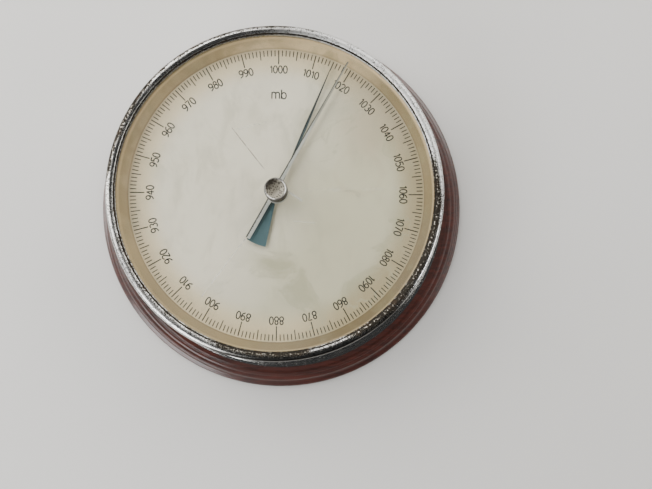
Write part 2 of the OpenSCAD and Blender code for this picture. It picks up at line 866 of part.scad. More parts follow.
module pointer_arbor() {
    pitch = 360 / pinion_teeth;
    color([0.72, 0.73, 0.75])
    union() {
        translate([0, 0, train_z - 0.5])
            cylinder(r = arbor_r, h = dial_top + 2.4 - train_z + 0.5, $fn = 32);
        translate([0, 0, gear_z - 0.4])
            linear_extrude(height = gear_t + 0.8)
                union() {
                    circle(r = pinion_r - tooth_ded, $fn = 48);
                    for (i = [0:pinion_teeth - 1])
                        rotate(sector_dir + (i + 0.5) * pitch)
                            tooth(pinion_r);
                }
    }
}

// hairspring and what holds its two ends
coil_z = gear_z + gear_t + 0.9;
coil_h = 0.9;
coil_end = 360 * (coil_turns - floor(coil_turns));
stud_r = 0.5;
stud_place = coil_out + coil_band / 2 + stud_r + 0.05;
module hairspring() {
    color([0.22, 0.27, 0.42])
    translate([0, 0, coil_z])
        linear_extrude(height = coil_h)
            polygon(concat(coil(-coil_band / 2), backwards(coil(coil_band / 2))));
}

module hairspring_collet() {
    color([0.75, 0.62, 0.32])
    difference() {
        translate([0, 0, coil_z - 0.2])
            cylinder(r = coil_in - coil_band / 2 - 0.02, h = coil_h + 0.4, $fn = 48);
        translate([0, 0, coil_z - 1])
            cylinder(r = arbor_r, h = coil_h + 2, $fn = 32);
    }
}

module hairspring_stud() {
    color([0.72, 0.73, 0.75])
    rotate(coil_end)
        translate([stud_place, 0, coil_z - 0.2])
            cylinder(r = stud_r, h = bridge_top - coil_z + 0.2, $fn = 32);
}

hand_z = dial_top + 1.4;
module hand_collet() {
    color([0.20, 0.24, 0.28])
    difference() {
        union() {
            translate([0, 0, dial_top - dial_t + 1.2])
                cylinder(r = 1.8, h = hand_z - dial_top + dial_t - 1.2, $fn = 48);
        }
        translate([0, 0, dial_z - 1])
            cylinder(r = arbor_r, h = 6, $fn = 32);
    }
}

module indicator_hand() {
    hub = 2.4;
    root_w = 0.8;
    color([0.20, 0.26, 0.30])
    rotate(mb_angle(reading_mb))
        translate([0, 0, hand_z])
            difference() {
                linear_extrude(height = hand_t)
                    union() {
                        circle(r = hub, $fn = 48);
                        // lance: narrow at the hub, widest halfway, pointed at the tip
                        polygon([[-root_w / 2, 0], [root_w / 2, 0],
                            [indicator_w / 2, indicator_l * 0.5], [0.1, indicator_l],
                            [-0.1, indicator_l], [-indicator_w / 2, indicator_l * 0.5]]);
                        // tail: a wedge with a round end
                        polygon(concat([[0, 0]],
                            arc(0, 0, tail_l, 270 - tail_angle / 2, 270 + tail_angle / 2, 12)));
                    }
                translate([0, 0, -1])
                    cylinder(r = arbor_r, h = hand_t + 2, $fn = 32);
            }
}

// the set hand hangs under the glass on a spindle that the knob turns
set_z = glass_z - 1.4;
module set_hand() {
    hub = 2.8;
    tip_w = 0.7;
    color([0.80, 0.80, 0.79])
    rotate(mb_angle(set_mb))
        translate([0, 0, set_z])
            difference() {
                linear_extrude(height = hand_t)
                    union() {
                        circle(r = hub, $fn = 48);
                        translate([-set_offset, 0])
                            polygon([[-set_w / 2, 0], [-set_w / 2, -set_tail_l], [set_w / 2, -set_tail_l],
                                [set_w / 2, 0], [tip_w / 2, set_l], [-tip_w / 2, set_l]]);
                    }
                translate([0, 0, -1])
                    cylinder(r = spindle_r, h = hand_t + 2, $fn = 32);
            }
}

module set_hub() {
    color([0.80, 0.80, 0.79])
    difference() {
        translate([0, 0, set_z + hand_t])
            cylinder(r = knob_r + 0.1, h = glass_z - set_z - hand_t, $fn = 48);
        translate([0, 0, set_z - 1])
            cylinder(r = spindle_r, h = 4, $fn = 32);
    }
}

module set_spindle() {
    color([0.80, 0.80, 0.79])
    union() {
        translate([0, 0, set_z - 0.4])
            cylinder(r = spindle_r, h = glass_top + 4 - set_z, $fn = 32);
        translate([0, 0, set_z - 0.4])
            cylinder(r = spindle_r + 0.6, h = 0.4, $fn = 32);
    }
}

module set_knob() {
    base = glass_top + 0.2;
    top = base + knob_h;
    side = knob_r - 0.15;
    // the top is dished: an arc through its rim and its lowest point
    dish = 0.95;
    rim = knob_r - 0.95;
    bowl = (rim * rim + dish * dish) / (2 * dish);
    color([0.80, 0.80, 0.79])
    difference() {
        rotate_extrude($fn = 96)
            polygon(concat([[spindle_r, base], [side - 0.4, base], [side, base + 0.4], [side, top - 1.1]],
                arc(knob_r - 0.5, top - 0.5, 0.5, -30, 90, 5),
                arc(0, top - dish + bowl, bowl, asin(rim / bowl) - 90, -90, 8),
                [[0, glass_top + 3.6], [spindle_r, glass_top + 3.6]]));
        // grooves that the fingers grip
        for (i = [0:knob_grooves - 1])
            rotate(i * 360 / knob_grooves)
                translate([side + 0.08, 0, base - 1])
                    cylinder(r = 0.32, h = knob_h - 0.3, $fn = 16);
    }
}

module glass_bush() {
    color([0.75, 0.62, 0.32])
    difference() {
        translate([0, 0, glass_z])
            cylinder(r = glass_hole_r - run_fit, h = glass_t, $fn = 48);
        translate([0, 0, glass_z - 1])
            cylinder(r = spindle_r + run_fit, h = glass_t + 2, $fn = 48);
    }
}

module setting_screw() {
    low = board_h + 0.4;
    high = plate_top + 12.6;
    color([0.35, 0.37, 0.42])
    translate([setting_x, 0, 0])
        difference() {
            translate([0, 0, low])
                cylinder(r = setting_r, h = high - low, $fn = 48);
            translate([-setting_r - 1, -0.45, low - 1])
                cube([2 * setting_r + 2, 0.9, 2.1]);
        }
}

board();
hanging_plate();
hanging_screws();
drum();
flange_screws();
bezel();
glass();
glass_seal();
slanted_ring();
dial();
dial_pillars();
movement_plate();
movement_screws();
spring_bridge();
bridge_screws();
spring_clamp();
clamp_screws();
main_spring();
vacuum_capsule();
capsule_stud();
capsule_post();
main_lever();
link_rod();
rocking_shaft();
rocker_brackets();
bracket_screws();
train_plate();
train_bridge();
train_pillars();
train_screws();
sector();
sector_arbor();
pointer_arbor();
hairspring();
hairspring_collet();
hairspring_stud();
hand_collet();
indicator_hand();
set_hand();
set_hub();
set_spindle();
set_knob();
glass_bush();
setting_screw();
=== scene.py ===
import json
import math
import bmesh
import bpy
import numpy as np
from mathutils import Matrix, Vector


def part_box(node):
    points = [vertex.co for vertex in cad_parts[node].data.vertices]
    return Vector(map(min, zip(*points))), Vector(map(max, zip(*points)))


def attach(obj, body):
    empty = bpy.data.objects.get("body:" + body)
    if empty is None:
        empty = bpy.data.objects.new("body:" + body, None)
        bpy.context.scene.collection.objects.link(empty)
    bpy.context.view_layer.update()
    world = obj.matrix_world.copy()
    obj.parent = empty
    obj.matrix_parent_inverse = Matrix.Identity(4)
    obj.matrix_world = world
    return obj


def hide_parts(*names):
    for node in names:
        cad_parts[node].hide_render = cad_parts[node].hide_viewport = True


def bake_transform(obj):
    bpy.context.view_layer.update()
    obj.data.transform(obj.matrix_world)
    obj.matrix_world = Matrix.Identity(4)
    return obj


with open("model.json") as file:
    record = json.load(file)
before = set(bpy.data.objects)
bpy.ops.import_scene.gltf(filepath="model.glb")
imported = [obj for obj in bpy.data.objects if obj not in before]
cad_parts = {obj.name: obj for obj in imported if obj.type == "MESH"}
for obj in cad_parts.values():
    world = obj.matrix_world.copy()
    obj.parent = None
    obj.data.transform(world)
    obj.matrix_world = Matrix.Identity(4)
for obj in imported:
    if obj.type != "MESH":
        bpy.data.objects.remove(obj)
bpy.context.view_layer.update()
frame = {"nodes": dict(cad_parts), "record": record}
nodes = frame["nodes"]
mm = 0.001
print("frame loaded:", len(nodes), "nodes")

# levels that the pieces share, in millimetres, read from the frame
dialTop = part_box("dial")[1][2] / mm
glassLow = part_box("glass")[0][2] / mm
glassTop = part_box("glass")[1][2] / mm
# radius where the slanted ring turns flat under the glass, a little inside its edge
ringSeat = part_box("slanted_ring")[1][0] / mm - 0.75


# shaders; lengths are in millimetres, grain sizes in lumps per metre, and a share runs from 0 to 1

class Tap:
    # an output socket that can be used in sums: each operator adds one Math node
    def __init__(self, recipe, socket):
        self.recipe = recipe
        self.socket = socket

    def maths(self, operation, *others):
        return self.recipe.make("ShaderNodeMath", {"operation": operation}, dict(enumerate((self,) + others)))

    def __add__(self, other): return self.maths("ADD", other)
    def __sub__(self, other): return self.maths("SUBTRACT", other)
    def __mul__(self, other): return self.maths("MULTIPLY", other)
    def __truediv__(self, other): return self.maths("DIVIDE", other)
    def __pow__(self, other): return self.maths("POWER", other)
    def __rsub__(self, other): return (self * -1.0).maths("ADD", other)
    __radd__ = __add__
    __rmul__ = __mul__

    def low(self, other): return self.maths("MINIMUM", other)
    def high(self, other): return self.maths("MAXIMUM", other)
    def size(self): return self.maths("ABSOLUTE")
    def root(self): return self.maths("SQRT")

    def ramp(self, a, b):
        # 0 at a, 1 at b, smooth between and flat outside
        return self.recipe.make("ShaderNodeMapRange", {"interpolation_type": "SMOOTHSTEP", "clamp": True},
                                {0: self, 1: a, 2: b})


def distance(x, y):
    # how far the point (x, y) lies from the middle
    return (x * x + y * y).root()


class Recipe:
    # one material; colour holds its coats so far
    def __init__(self, name):
        self.material = bpy.data.materials.new(name)
        self.material.use_nodes = True
        self.tree = self.material.node_tree
        self.tree.nodes.clear()
        self.place = self.make("ShaderNodeTexCoord", {}, {}, "Object")
        self.colour = None

    def make(self, kind, settings, values, out=0):
        # a node of this type: settings first, then values or links of its sockets; out picks the output
        node = self.tree.nodes.new(kind)
        for key, value in settings.items():
            setattr(node, key, value)
        for key, value in values.items():
            socket = node.inputs[key]
            if isinstance(value, Tap):
                self.tree.links.new(value.socket, socket)
            else:
                socket.default_value = value + (1.0,) if socket.type == "RGBA" else value
        return Tap(self, node.outputs[out]) if len(node.outputs) else node

    def axes(self):
        # x, y and z of a place, in millimetres
        scaled = self.make("ShaderNodeVectorMath", {"operation": "SCALE"}, {0: self.place, "Scale": 1.0 / mm})
        split = self.make("ShaderNodeSeparateXYZ", {}, {0: scaled})
        self.x, self.y, self.z = [Tap(self, socket) for socket in split.socket.node.outputs]
        return self.x, self.y, self.z

    def around(self, clock, spread):
        # 1 where a place lies in this direction, counted clockwise from the top, and 0 from spread degrees away
        turn = math.radians(clock)
        along = self.x * math.sin(turn) + self.y * math.cos(turn)
        return (along / distance(self.x, self.y).high(0.001)).ramp(math.cos(math.radians(spread)), 1.0)

    def grain(self, scale, detail=4.0, rough=0.5, stretch=None, warp=0.0):
        # noise between 0 and 1; a larger stretch along an axis makes the lumps shorter there
        where = self.make("ShaderNodeMapping", {}, {0: self.place, 3: stretch}) if stretch else self.place
        return self.make("ShaderNodeTexNoise", {"noise_dimensions": "3D"},
                         {"Vector": where, "Scale": scale, "Detail": detail, "Roughness": rough, "Distortion": warp})

    def cells(self, scale):
        # distance to the nearest of many scattered points
        return self.make("ShaderNodeTexVoronoi", {"feature": "F1"},
                         {"Vector": self.place, "Scale": scale, "Randomness": 1.0})

    def pitting(self, scale, amount):
        # dark round pits, about scale of them per metre; amount 0 gives none and 1 nearly joins them
        ragged = self.grain(scale * 1.3, 2.0, 0.6)
        near = self.cells(scale) + (ragged - 0.5) * 0.5
        reach = amount.ramp(0.0, 0.12) * 0.2 + amount * 0.55
        return (near - reach).ramp(0.0, -0.10)

    def blend(self, share, first, second):
        return self.make("ShaderNodeMix", {"data_type": "RGBA", "blend_type": "MIX", "clamp_factor": True},
                         {0: share, 6: first, 7: second}, 2)

    def cover(self, share, shade):
        # one more coat: shade hides the colour so far as densely as share says
        self.colour = self.blend(share, self.colour, shade)

    def bump(self, height, strength, depth):
        # depth in metres
        return self.make("ShaderNodeBump", {}, {"Strength": strength, "Distance": depth, "Height": height})

    def joined(self, share, first, second):
        # two shaders in one, the second as strong as share says
        return self.make("ShaderNodeMixShader", {}, {0: share, 1: first, 2: second})

    def close(self, shader):
        self.make("ShaderNodeOutputMaterial", {}, {"Surface": shader})
        return self.material

    def finish(self, **values):
        # a principled shader of the coats; each further value goes to the socket of its name, _ standing for a space
        sockets = {key.replace("_", " "): value for key, value in values.items()}
        return self.close(self.make("ShaderNodeBsdfPrincipled", {}, {"Base Color": self.colour, **sockets}))


def nearLine(x, y, start, end, width):
    # 1 on the straight line from start to end and 0 from half its width away: the place's shadow on the line, kept
    # between its ends, is what the distance is measured to
    dx, dy = end[0] - start[0], end[1] - start[1]
    share = (((x - start[0]) * dx + (y - start[1]) * dy) / (dx * dx + dy * dy)).high(0.0).low(1.0)
    return distance(x - start[0] - share * dx, y - start[1] - share * dy).ramp(width * 0.5, width * 0.15)


# the white dial, yellowed at the right, stained below the centre and browned towards its edge;
# sides are (clock direction, spread in degrees) and bands are (radius where it starts, radius where it is full)
dialLook = {"left": (0.90, 0.82, 0.69), "right": (0.68, 0.625, 0.46), "stain": (0.50, 0.46, 0.32),
            "edge": (0.86, 0.68, 0.42), "edgeRight": (0.44, 0.335, 0.18), "brown": (0.60, 0.50, 0.36),
            "speck": (0.12, 0.10, 0.07), "fibre": (0.45, 0.42, 0.36),
            "stainSide": (158.0, 65.0), "stainBand": (12.0, 36.0), "edgeSide": (100.0, 90.0), "edgeBand": (55.0, 67.5),
            "brownPlace": (47.0, 36.0), "brownBand": (28.0, 4.0), "arcPlace": (40.0, 11.0), "arcRadius": 11.0}


def dialPaint():
    look = dialLook
    r = Recipe("agedDialPaint")
    x, y = r.axes()[:2]
    far = distance(x, y)
    # 0 at the left and 1 at the right of a wavy slanting line
    right = (x * 0.85 - y * 0.42 + (r.grain(22.0, 2.0) - 0.5) * 46.0).ramp(-22.0, 30.0)
    r.colour = r.blend(right, look["left"], look["right"])
    cloud = r.grain(34.0, 5.0, 0.62, warp=0.8)
    blots = cloud.ramp(0.46, 0.72)
    below = r.around(*look["stainSide"]) * far.ramp(*look["stainBand"])
    r.cover(blots * (0.12 + 0.6 * right + 0.45 * below) + below * 0.16, look["stain"])
    edge = r.blend(r.around(*look["edgeSide"]).ramp(0.0, 0.8), look["edge"], look["edgeRight"])
    r.cover(far.ramp(*look["edgeBand"]) * 0.75, edge)
    spot = distance(x - look["brownPlace"][0], y - look["brownPlace"][1]) + (cloud - 0.5) * 40.0
    r.cover(spot.ramp(*look["brownBand"]) * 0.9, look["brown"])
    circle = distance(x - look["arcPlace"][0], y - look["arcPlace"][1]) + (cloud - 0.5) * 5.0 - look["arcRadius"]
    r.cover(circle.size().ramp(2.2, 0.4) * right * 0.22, look["brown"])
    tide = (cloud - 0.56).size().ramp(0.016, 0.004) * (0.2 + right)
    r.cover(tide * 0.45, look["stain"])
    smear = r.grain(90.0, 5.0, 0.65, stretch=(1.0, 0.45, 1.0), warp=0.4)
    r.cover(smear.ramp(0.46, 0.70) * 0.35, look["stain"])
    specks = r.cells(900.0).ramp(0.16, 0.07) * r.grain(60.0, 3.0).ramp(0.60, 0.74)
    r.cover(specks * (0.12 + 0.5 * below), look["speck"])
    fibre = r.grain(2600.0, 2.0, 0.6)
    r.cover(fibre * 0.10, look["fibre"])
    return r.finish(Roughness=0.42 + 0.18 * blots, IOR=1.45,
                    Normal=r.bump(fibre + r.grain(160.0, 2.0) * 2.0, 0.10, 0.00008))


# the slanted ring: cream paint, with painted shade darkening it towards its lower right;
# coats, from the lowest: clock direction, spread in degrees, share, colour; the coat at 10 degrees is painted light,
# the brown ones at 142 and 52 degrees are painted shade, and those at 150 and 232 degrees darken it below
ringLook = {"pale": (0.585, 0.445, 0.265), "brown": (0.285, 0.21, 0.11), "lit": (0.93, 0.71, 0.43),
            "olive": (0.36, 0.32, 0.18), "amber": (0.50, 0.375, 0.205), "shadeAndGrime": (0.10, 0.075, 0.045),
            "coats": [(10.0, 39.0, 0.9, "lit"), (142.0, 55.0, 0.85, "brown"), (52.0, 34.0, 0.15, "brown"),
                      (150.0, 58.0, 0.40, "shadeAndGrime"), (232.0, 45.0, 0.14, "shadeAndGrime"), (215.0, 65.0, 0.5, "amber")],
            "patchSide": (60.0, 80.0), "outerBand": (70.8, 73.2), "outerSide": (165.0, 95.0),
            "topSides": ((340.0, 110.0), (30.0, 60.0)), "seatSide": (45.0, 80.0)}


def ringPaint():
    look = ringLook
    r = Recipe("creamRingPaint")
    x, y, z = r.axes()
    far = distance(x, y)
    # painted shade: pale at the upper left, brown towards the lower right
    r.colour = r.blend((x * 0.93 - y * 0.37).ramp(-76.0, 60.0), look["pale"], look["brown"])
    # coats from ringLook, among them painted light at the top and painted shade towards the lower right
    for clock, spread, share, shade in look["coats"]:
        r.cover(r.around(clock, spread) * share, look[shade])
    patches = r.grain(46.0, 5.0, 0.6, warp=0.6).ramp(0.46, 0.62)
    r.cover(patches * (0.30 + 0.25 * r.around(*look["patchSide"])), look["brown"])
    r.cover(r.grain(120.0, 5.0, 0.65).ramp(0.48, 0.66) * 0.3, look["olive"])
    # painted shade where the ring meets the dial, grime in fine specks, and its outer part below darker
    r.cover(z.ramp(dialTop + 1.0, dialTop + 0.1) * 0.30, look["shadeAndGrime"])
    fine = r.grain(1800.0, 3.0, 0.6)
    r.cover(fine.ramp(0.55, 0.75) * 0.12, look["shadeAndGrime"])
    r.cover(far.ramp(*look["outerBand"]) * r.around(*look["outerSide"]).ramp(0.0, 0.5) * 0.30, look["shadeAndGrime"])
    # a painted highlight on the top edge, where it catches light, and painted shade on the flat beyond it under the
    # glass
    wide, narrow = [r.around(*side) for side in look["topSides"]]
    topEdge = z.ramp(glassLow - 1.3, glassLow - 0.5) * (0.35 + 0.5 * wide.high(narrow * 1.3))
    r.cover(topEdge * 0.8, look["lit"])
    seat = far.ramp(ringSeat + 0.20, ringSeat + 0.50) * r.around(*look["seatSide"]).ramp(0.0, 0.35)
    r.cover(seat * 0.85, look["shadeAndGrime"])
    return r.finish(Roughness=0.50 + 0.2 * patches, Specular_IOR_Level=0.3, Normal=r.bump(fine, 0.15, 0.0001))


# printed marks: nearly black, worn thin in places
inkLook = {"full": (0.008, 0.008, 0.007), "thin": (0.10, 0.09, 0.08)}


def inkPaint():
    r = Recipe("scaleInk")
    worn = r.grain(700.0, 3.0, 0.7).ramp(0.50, 0.78)
    r.colour = r.blend(worn * 0.25, inkLook["full"], inkLook["thin"])
    return r.finish(Roughness=0.55 + 0.1 * worn)


# chrome: plated, with pits where the plating broke; pits gather in some directions
chromeLook = {"plate": (0.80, 0.80, 0.79), "haze": (0.55, 0.54, 0.51), "film": (0.60, 0.57, 0.50),
              "grey": (0.34, 0.33, 0.31), "dead": (0.20, 0.18, 0.145),
              "pit": (0.022, 0.018, 0.013), "rust": (0.055, 0.036, 0.022)}


def platedChrome(name, base, fine, rough, spots, smooth=(), satin=(), grey=(), edges=None):
    # base: pitting everywhere; fine: pits per metre; rough: roughness everywhere; then, each with its clock direction
    # and spread in degrees, spots: pitting added, smooth: where it is less, satin: roughness added, grey: share of
    # plating gone grey. edges is for the bezel: pits fade outwards over the radii fade, but inwards round the side
    # upper, and hardly reach below the level below; a painted dark line of shade runs along the lip at the radius
    # given for it; bare and tarnish are (side, band), and the tarnish band is painted shade on the outer edge
    r = Recipe(name)
    x, y, z = r.axes()
    amount = r.grain(150.0, 4.0, 0.65) * 1.4 - 0.7 + base
    for clock, spread, more in spots:
        amount = amount + r.around(clock, spread) * more
    for clock, spread in smooth:
        amount = amount - r.around(clock, spread) * 0.8
    shadeAndGrime, tarnish, plated, freckled = 0.0, 0.0, 1.0, 0.3
    if edges:
        far = distance(x, y)
        outward = far.ramp(*edges["fade"])
        above = r.around(*edges["upper"]).ramp(0.1, 0.6)
        under = z.ramp(edges["below"] + 0.3, edges["below"] - 0.3)
        bare, tarnish = [r.around(*side).ramp(0.0, 0.4) * far.ramp(*band) for side, band in
                         (edges["bare"], edges["tarnish"])]
        amount = amount + above * (outward * 1.05 - 0.90) - (1.0 - above) * outward * 0.85
        amount = amount - under * 0.45 - bare * 0.20
        # a painted dark line of shade along the lip, above the glass
        wavy = far + (r.grain(fine, 2.0, 0.7) - 0.5) * 0.7 - edges["shadeAndGrime"]
        shadeAndGrime = wavy.size().ramp(0.42, 0.18) * z.ramp(glassTop + 0.9, glassTop + 1.0)
        plated = 1.0 - bare * 0.45
        freckled = 1.0 - under * 0.7
    amount = amount.high(0.0).low(1.0)
    # small pits, and broader ones where there are many; the painted dark line of shade along the lip joins them
    pits = r.pitting(fine, amount).high(r.pitting(fine * 0.45, (amount - 0.45).high(0.0))).high(shadeAndGrime)
    for clock, spread, more in satin:
        rough = r.around(clock, spread) * more + rough
    speckle = r.grain(fine * 1.2, 2.0, 0.7).ramp(0.42, 0.66)
    film = r.grain(64.0, 5.0, 0.65, stretch=(1.0, 1.0, 0.3)).ramp(0.42, 0.75)
    dull = r.grain(fine * 0.8, 3.0, 0.7).ramp(0.45, 0.62) * amount
    r.colour = r.blend(speckle * 0.4, chromeLook["plate"], chromeLook["haze"])
    r.cover(film * 0.35, chromeLook["film"])
    for clock, spread, share in grey:
        gone = r.around(clock, spread).ramp(0.0, 0.5) * (0.6 + 0.4 * speckle) * share
        r.cover(gone * plated, chromeLook["grey"])
    r.cover(amount.ramp(0.25, 0.85) * 0.88, chromeLook["dead"])
    freckles = r.cells(1250.0).ramp(0.50, 0.30) * r.grain(420.0, 2.0).ramp(0.40, 0.54)
    r.cover(freckles * freckled * 0.75, chromeLook["pit"])
    # painted shade on the bezel's outer edge at the bottom, in the pits' colour
    r.cover(tarnish * 0.9, chromeLook["pit"])
    r.cover(pits, chromeLook["pit"])
    r.cover(pits * r.grain(fine * 0.2, 2.0).ramp(0.52, 0.66) * 0.5, chromeLook["rust"])
    hair = r.grain(2400.0, 2.0, 0.5, stretch=(1.0, 1.0, 0.25))
    return r.finish(Metallic=1.0 - pits * 0.25,
                    Roughness=rough + film * 0.07 + speckle * 0.05 + dull * 0.15 + pits * 0.5 + hair * 0.04,
                    Normal=r.bump(hair * 0.05 - dull * 0.3 - pits * 0.6, 0.4, 0.00008))


caseLook = {"base": -0.12, "fine": 900.0, "rough": 0.08, "spots": [(200.0, 60.0, 0.20), (70.0, 40.0, 0.15)]}

bezelLook = {"base": 0.16, "fine": 1350.0, "rough": 0.12,
             "spots": [(88.0, 18.0, 0.45), (120.0, 42.0, 0.95), (165.0, 50.0, 0.40), (212.0, 60.0, 0.30),
                       (290.0, 24.0, 0.60), (262.0, 40.0, 0.10), (330.0, 60.0, 0.42)],
             "smooth": [(45.0, 34.0)],
             "satin": [(45.0, 64.0, 0.34), (235.0, 55.0, 0.10), (318.0, 40.0, 0.08)],
             "grey": [(315.0, 75.0, 0.65), (166.0, 42.0, 1.3)],
             # in edges, the dark line at the lip and the tarnish band are painted shade
             "edges": {"fade": (77.3, 79.5), "upper": (330.0, 80.0), "below": 59.4, "shadeAndGrime": 76.50,
                       "bare": ((149.0, 24.0), (78.4, 77.6)), "tarnish": ((168.0, 44.0), (79.3, 79.8))}}

# setting knob: a darker grooved side, a bright rim with painted shade at two sides and painted glints at two others,
# and a dished top gone yellow, with pits and painted shade on one side of the dish
knobWear = {"plate": (0.80, 0.79, 0.75), "dish": (0.25, 0.23, 0.18), "pit": (0.035, 0.028, 0.020),
            "dirt": (0.048, 0.040, 0.030), "glint": (0.98, 0.96, 0.90),
            "dishBand": (4.75, 4.45), "sideBand": (4.86, 5.04), "rimBand": (4.35, 4.60), "rimEnd": (5.02, 4.90),
            "paintedShadeSide": (318.0, 62.0), "darkBand": (1.6, 3.6),
            "rimShadeSides": ((325.0, 50.0), (150.0, 40.0)), "glintSides": ((210.0, 34.0), (72.0, 44.0))}


def wornKnobChrome():
    look = knobWear
    r = Recipe("wornKnobChrome")
    x, y = r.axes()[:2]
    far = distance(x, y)
    dish = far.ramp(*look["dishBand"])
    side = far.ramp(*look["sideBand"])
    rim = far.ramp(*look["rimBand"])
    shade = r.around(*look["paintedShadeSide"]) * far.ramp(*look["darkBand"]) * dish
    lumps = r.grain(1300.0, 3.0, 0.7)
    pits = r.pitting(1200.0, (0.45 + shade * 0.5 + (lumps - 0.5) * 1.4).high(0.0).low(1.0))
    r.colour = r.blend(dish, look["plate"], look["dish"])
    # painted shade on the rim at two sides, in the dirt colour
    upper, lower = [r.around(*where) * 0.8 for where in look["rimShadeSides"]]
    r.cover(rim * upper.high(lower), look["dirt"])
    # painted shade on one side of the dish, in the dirt colour
    r.cover(shade * 0.85, look["dirt"])
    r.cover(pits * (0.6 + 0.35 * dish), look["pit"])
    # the grooved side made darker all round
    r.cover(side * (0.80 + 0.2 * lumps), look["dirt"])
    # painted glints: highlights painted on the rim at two sides
    strong, weak = [r.around(*where) for where in look["glintSides"]]
    glint = rim * far.ramp(*look["rimEnd"]) * strong.high(weak * 0.7).ramp(0.0, 0.6)
    r.cover(glint, look["glint"])
    return r.finish(Metallic=(0.95 - 0.45 * dish - 0.8 * side) * (1.0 - 0.7 * glint),
                    Roughness=0.12 + 0.22 * dish + 0.40 * side + 0.2 * pits, Normal=r.bump(pits * -1.0, 0.5, 0.00008))


# the turned board: dark red wood under gloss, its grain running along X, with bare wood at its back
woodLook = {"dark": (0.026, 0.0075, 0.0050), "red": (0.088, 0.018, 0.0105), "pore": (0.010, 0.003, 0.002),
            "worn": (0.20, 0.075, 0.045), "bare": (0.16, 0.075, 0.040),
            "rimBand": (103.8, 105.4), "backLevels": (0.25, 0.05), "dullSide": (132.0, 85.0)}


def glossWood():
    look = woodLook
    r = Recipe("redGlossWood")
    x, y, z = r.axes()
    bend = r.grain(9.0, 3.0, 0.5)
    streak = r.grain(42.0, 6.0, 0.60, stretch=(0.55, 9.0, 9.0), warp=0.5)
    fine = r.grain(150.0, 4.0, 0.55, stretch=(0.4, 9.0, 9.0), warp=0.2)
    shade = streak * 0.62 + fine * 0.38 + (bend - 0.5) * 0.45
    r.colour = r.blend(shade.ramp(0.30, 0.72), look["dark"], look["red"])
    pores = r.grain(420.0, 3.0, 0.6, stretch=(0.35, 6.0, 6.0)).ramp(0.64, 0.74)
    r.cover(pores * 0.65, look["pore"])
    worn = distance(x, y).ramp(*look["rimBand"]) * r.grain(120.0, 4.0, 0.7).ramp(0.52, 0.72)
    r.cover(worn * 0.45, look["worn"])
    back = z.ramp(*look["backLevels"])
    r.cover(back * 0.6, look["bare"])
    dust = r.grain(800.0, 4.0, 0.7).ramp(0.55, 0.80)
    dull = r.around(*look["dullSide"]).ramp(0.0, 0.6)
    return r.finish(Roughness=0.30 + 0.12 * dust + 0.25 * back + 0.22 * dull,
                    Coat_Weight=(0.9 - 0.75 * back - 0.25 * dust) * (1.0 - 0.6 * dull), Coat_Roughness=0.2,
                    Coat_IOR=1.5, Normal=r.bump(streak * 0.6 - pores * 0.5 + dust * 0.2, 0.12, 0.0002))


# brass: brushed along X, with soft brown tarnish
brassLook = {"plateBrass": {"light": (0.58, 0.40, 0.16), "brown": (0.16, 0.09, 0.035)},
             "movementBrass": {"light": (0.66, 0.47, 0.20), "brown": (0.22, 0.12, 0.045)}}


def oldBrass(name):
    r = Recipe(name)
    brush = r.grain(900.0, 3.0, 0.6, stretch=(0.06, 1.0, 1.0))
    tarnish = r.grain(70.0, 5.0, 0.65).ramp(0.45, 0.75)
    r.colour = r.blend(tarnish * 0.7, brassLook[name]["light"], brassLook[name]["brown"])
    return r.finish(Metallic=1.0 - 0.25 * tarnish, Roughness=0.24 + 0.2 * brush + 0.2 * tarnish,
                    Normal=r.bump(brush, 0.15, 0.0001))


# grey and blued metals: brushed along Y, with darker clouds of this many lumps per metre; the screws under the
# bezel's overhang are of the drum's metal, painted dark as shade under the overhang
steelLook = {
    "bluedScrewSteel": {"light": (0.16, 0.20, 0.34), "dark": (0.07, 0.08, 0.13), "rough": 0.22, "lumps": 120.0},
    "springSteel": {"light": (0.20, 0.25, 0.38), "dark": (0.10, 0.10, 0.13), "rough": 0.28, "lumps": 120.0},
    "capsuleMetal": {"light": (0.60, 0.57, 0.50), "dark": (0.36, 0.31, 0.24), "rough": 0.30, "lumps": 60.0},
    "polishedSteel": {"light": (0.62, 0.62, 0.63), "dark": (0.38, 0.37, 0.36), "rough": 0.16, "lumps": 120.0},
    "paintedShadeScrews": {"light": (0.17, 0.165, 0.155), "dark": (0.06, 0.055, 0.050), "rough": 0.42, "lumps": 120.0},
}


def steel(name):
    look = steelLook[name]
    r = Recipe(name)
    brush = r.grain(1500.0, 3.0, 0.6, stretch=(1.0, 0.08, 1.0))
    cloud = r.grain(look["lumps"], 4.0, 0.6).ramp(0.42, 0.72)
    r.colour = r.blend(cloud * 0.8, look["light"], look["dark"])
    return r.finish(Metallic=1.0 - 0.2 * cloud, Roughness=look["rough"] + 0.12 * brush + 0.15 * cloud,
                    Normal=r.bump(brush, 0.12, 0.00008))


# blued indicator: nearly black lance with painted light on one side and painted shade on the other, and a teal tail,
# the steel's blue with a painted reflection of light; clock is the lance's direction, tailEdge that of the painted
# shade along the tail's edge, and tail and tip say from where to where along the lance they come in
bluedLook = {"clock": 22.5, "tailEdge": 212.75, "tail": (-3.0, -7.0), "tip": (30.0, 52.0),
             "tealSheen": (0.078, 0.142, 0.162), "tealCloud": (0.056, 0.106, 0.122), "tealEdgeShade": (0.022, 0.038, 0.042),
             "litSide": (0.085, 0.120, 0.130), "paintedShadeSide": (0.018, 0.024, 0.026), "cloud": (0.030, 0.040, 0.045),
             "tipShade": (0.012, 0.014, 0.015), "spot": (0.16, 0.14, 0.11)}


